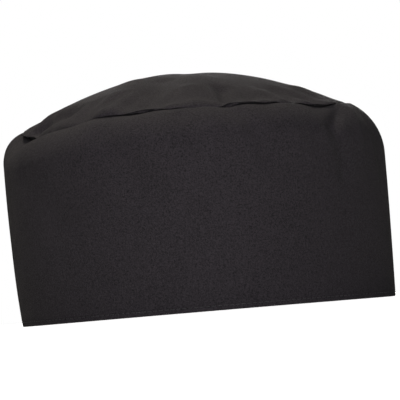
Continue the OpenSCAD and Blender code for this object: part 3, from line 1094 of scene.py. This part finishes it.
def build_hooks():
    """Small nylon hooks in rows, turned alternately up and down."""
    shape = np.array([(0, 0), (0, 0.26), (0.03, 0.40), (0.13, 0.50), (0.25, 0.46), (0.30, 0.36)])
    base = HOOK_R - 0.33
    lines, side = [], []
    for number, (g, z) in enumerate(pile_grid(HOOK_TAPE_G, HOOK_R, 17, 13)):
        way = 1 if number % 2 else -1
        lines.append(back_point(g, base - shape[:, 1], z + way * shape[:, 0]))
        side.append(np.broadcast_to(unit(back_point(g + PI / 2, 1, 0)), (len(shape), 3)))
    size = np.array([0.13, 0.1, 0.09, 0.085, 0.08, 0.06])
    piece = tubes("hook_tape_hooks", lines, np.array(side), size, 6, NYLON, "hook_strap")


def build_loop_pile():
    """Soft loops that lean in every direction."""
    draw = np.random.default_rng(71)
    base = LOOP_R + STRAP_T + 0.33
    turns = np.linspace(0, PI, 7)
    lines, side = [], []
    for g, z in pile_grid(LOOP_TAPE_G, LOOP_R, 36, 17):
        heading = draw.uniform(0, PI)
        size = draw.uniform(0.36, 0.52)
        height = draw.uniform(0.34, 0.46)
        g = g + draw.uniform(-0.3, 0.3) / base
        z = z + draw.uniform(-0.3, 0.3)
        dg = size * np.cos(turns) * math.cos(heading) / base
        dz = size * np.cos(turns) * math.sin(heading)
        lines.append(back_point(g + dg, base - 0.05 + height * np.sin(turns), z + dz))
        across = -math.sin(heading) * back_point(g + PI / 2, 1, 0)
        side.append(np.broadcast_to(across + [0, 0, math.cos(heading)], (len(turns), 3)))
    piece = tubes("loop_tape_loops", lines, np.array(side), 0.085, 5, LOOPS, "loop_strap")


def build_hook_strap():
    """The outer strap: its root is tucked under and sewn to the band, its end carries hooks."""
    middle = HOOK_R + STRAP_T / 2
    under_r = BASE_R + 0.5
    bend = (middle - under_r) / 2
    turn_g = ROOT_END_G + bend / HOOK_R
    path = [(g, under_r) for g in np.linspace(-EDGE_G - 4.4 * DEG, turn_g, 6)]
    path += [(turn_g - bend / HOOK_R * math.sin(t), (middle + under_r) / 2 - bend * math.cos(t))
             for t in np.linspace(0, PI, 9)[1:-1]]
    path += [(g, middle) for g in np.linspace(turn_g, HOOK_END_G, 84)
             if g < HOOK_END_G - 2.8 / HOOK_R]
    path += [(HOOK_END_G - x / HOOK_R, middle) for x in CORNER_STEPS[::-1]]
    piece, length = strap_cloth("hook_strap_cloth", path, 0, CORNER_R, 51)
    hang_strap(piece, length, "hook_strap", "hook_strap_peel", -1, 1.2, 4.2,
               "hook_strap", "hook_strap_root")

    top = HOOK_R + STRAP_T - 0.06
    rows = patch_rows(top, 1.0, ROOT_END_G + 2.2 / HOOK_R, -EDGE_G - 2.4 / HOOK_R,
                      STRAP_LOW + 2.2, STRAP_HIGH - 2.2)
    stitches("hook_root_threads", "hook_root_stitching", rows, "hat", 2.1)
    build_tape("hook_tape_ground", HOOK_R, -1, HOOK_TAPE_G, NYLON, "hook_strap", "hook_tape")
    build_hooks()
    stitch_tape("hook_tape_threads", "hook_tape_stitching", "hook_strap", HOOK_TAPE_G, HOOK_R,
                top, HOOK_R - 0.32)


def build_loop_strap():
    """The inner strap: its root rises over the binding, and its outer face carries loops."""
    middle = LOOP_R + STRAP_T / 2
    path = [(LOOP_END_G + x / LOOP_R, middle) for x in CORNER_STEPS]
    path += [(g, middle + 0.25 * float(smooth((LOOP_R * math.sin(g) - 28.6) / 2)))
             for g in np.linspace(LOOP_END_G + 3.2 / LOOP_R, math.asin(31.5 / LOOP_R), 74)]
    piece, length = strap_cloth("loop_strap_cloth", path, CORNER_R, 0, 53)
    hang_strap(piece, length, "loop_strap", "loop_strap_swing", 1, 0.6, 3.4, "loop_strap")

    top = LOOP_R + STRAP_T
    build_tape("loop_tape_ground", top, 1, LOOP_TAPE_G, LOOPS, "loop_strap", "loop_tape")
    build_loop_pile()
    stitch_tape("loop_tape_threads", "loop_tape_stitching", "loop_strap", LOOP_TAPE_G, LOOP_R,
                top + 0.32, LOOP_R + 0.05)


# ---------- stage ----------

def aim(piece, target, roll=0.0):
    way = Vector(target) - piece.location
    piece.rotation_mode = "QUATERNION"
    turned = way.to_track_quat("-Z", "Y").to_matrix() @ Matrix.Rotation(roll, 3, "Z")
    piece.rotation_quaternion = turned.to_quaternion()


def area_light(name, place, size, power, colour=(1, 1, 1)):
    light = bpy.data.lights.new(name, "AREA")
    light.shape = "DISK"
    light.size = size
    light.energy = power
    light.color = colour
    lamp = add_object(name, light, place)
    lamp.visible_camera = False
    aim(lamp, (0, 0, 0.06))


def glow_for_camera(tree, node, strength, to_things, to_camera):
    """The studio's white shows in the picture but lights the hat only a little."""
    seen = tree.new("LightPath").outputs["Is Camera Ray"]
    tree.fill(node, **{strength: tree.spread(seen, 0, 1, to_things, to_camera)})


def build_stage():
    half = 8.0 / MM
    corners = [[-half, -half, 0], [half, -half, 0], [half, half, 0], [-half, half, 0]]
    paint = Tree(bpy.data.materials.new("pale_floor"))
    surface = paint.nodes["Principled BSDF"]
    paint.fill(surface, Base_Color=(0.5, 0.5, 0.5, 1), Roughness=0.95, Emission_Color=(1, 1, 1, 1))
    glow_for_camera(paint, surface, "Emission_Strength", 0.0, 0.95)
    floor = make_piece("floor", corners, [[0, 1, 2, 3]], paint.owner)
    floor.location.z = -0.0002

    studio = Tree(bpy.data.worlds.new("studio"))
    backdrop = studio.nodes["Background"]
    studio.fill(backdrop, Color=(1, 1, 1, 1))
    glow_for_camera(studio, backdrop, "Strength", 0.03, 1.0)
    bpy.context.scene.world = studio.owner

    area_light("key", (0.02, -0.89, 0.15), 0.3, 4.3)
    area_light("above", (-0.30, 0.30, 1.35), 0.4, 10.8, (1.0, 0.95, 0.82))
    area_light("behind", (0.1, 1.6, 0.45), 0.8, 11)

    lens = bpy.data.cameras.new("camera")
    lens.sensor_width = 36
    lens.lens = 179
    lens.clip_start, lens.clip_end = 0.05, 20
    camera = add_object("camera", lens, (0, -1.0, 0.003))
    aim(camera, (0, 0, 0.0563), -4.8 * DEG)
    bpy.context.scene.camera = camera
    bpy.context.scene.view_settings.view_transform = "Standard"


build_stage()
build_shell()
build_inner_ply("interlining", "band_interlining", 8.6, 94, 0.9, INTERLINING_T,
                INTERLINING, columns=300)
build_inner_ply("lining", "band_lining", 1.2, 99, 1.45, LINING_T, LINING, columns=400)
build_crown()
build_hem_stitches()
build_back_seam_stitches()
build_sweatband()
build_opening_binding()
build_seam_binding()
build_label()
build_hook_strap()
build_loop_strap()
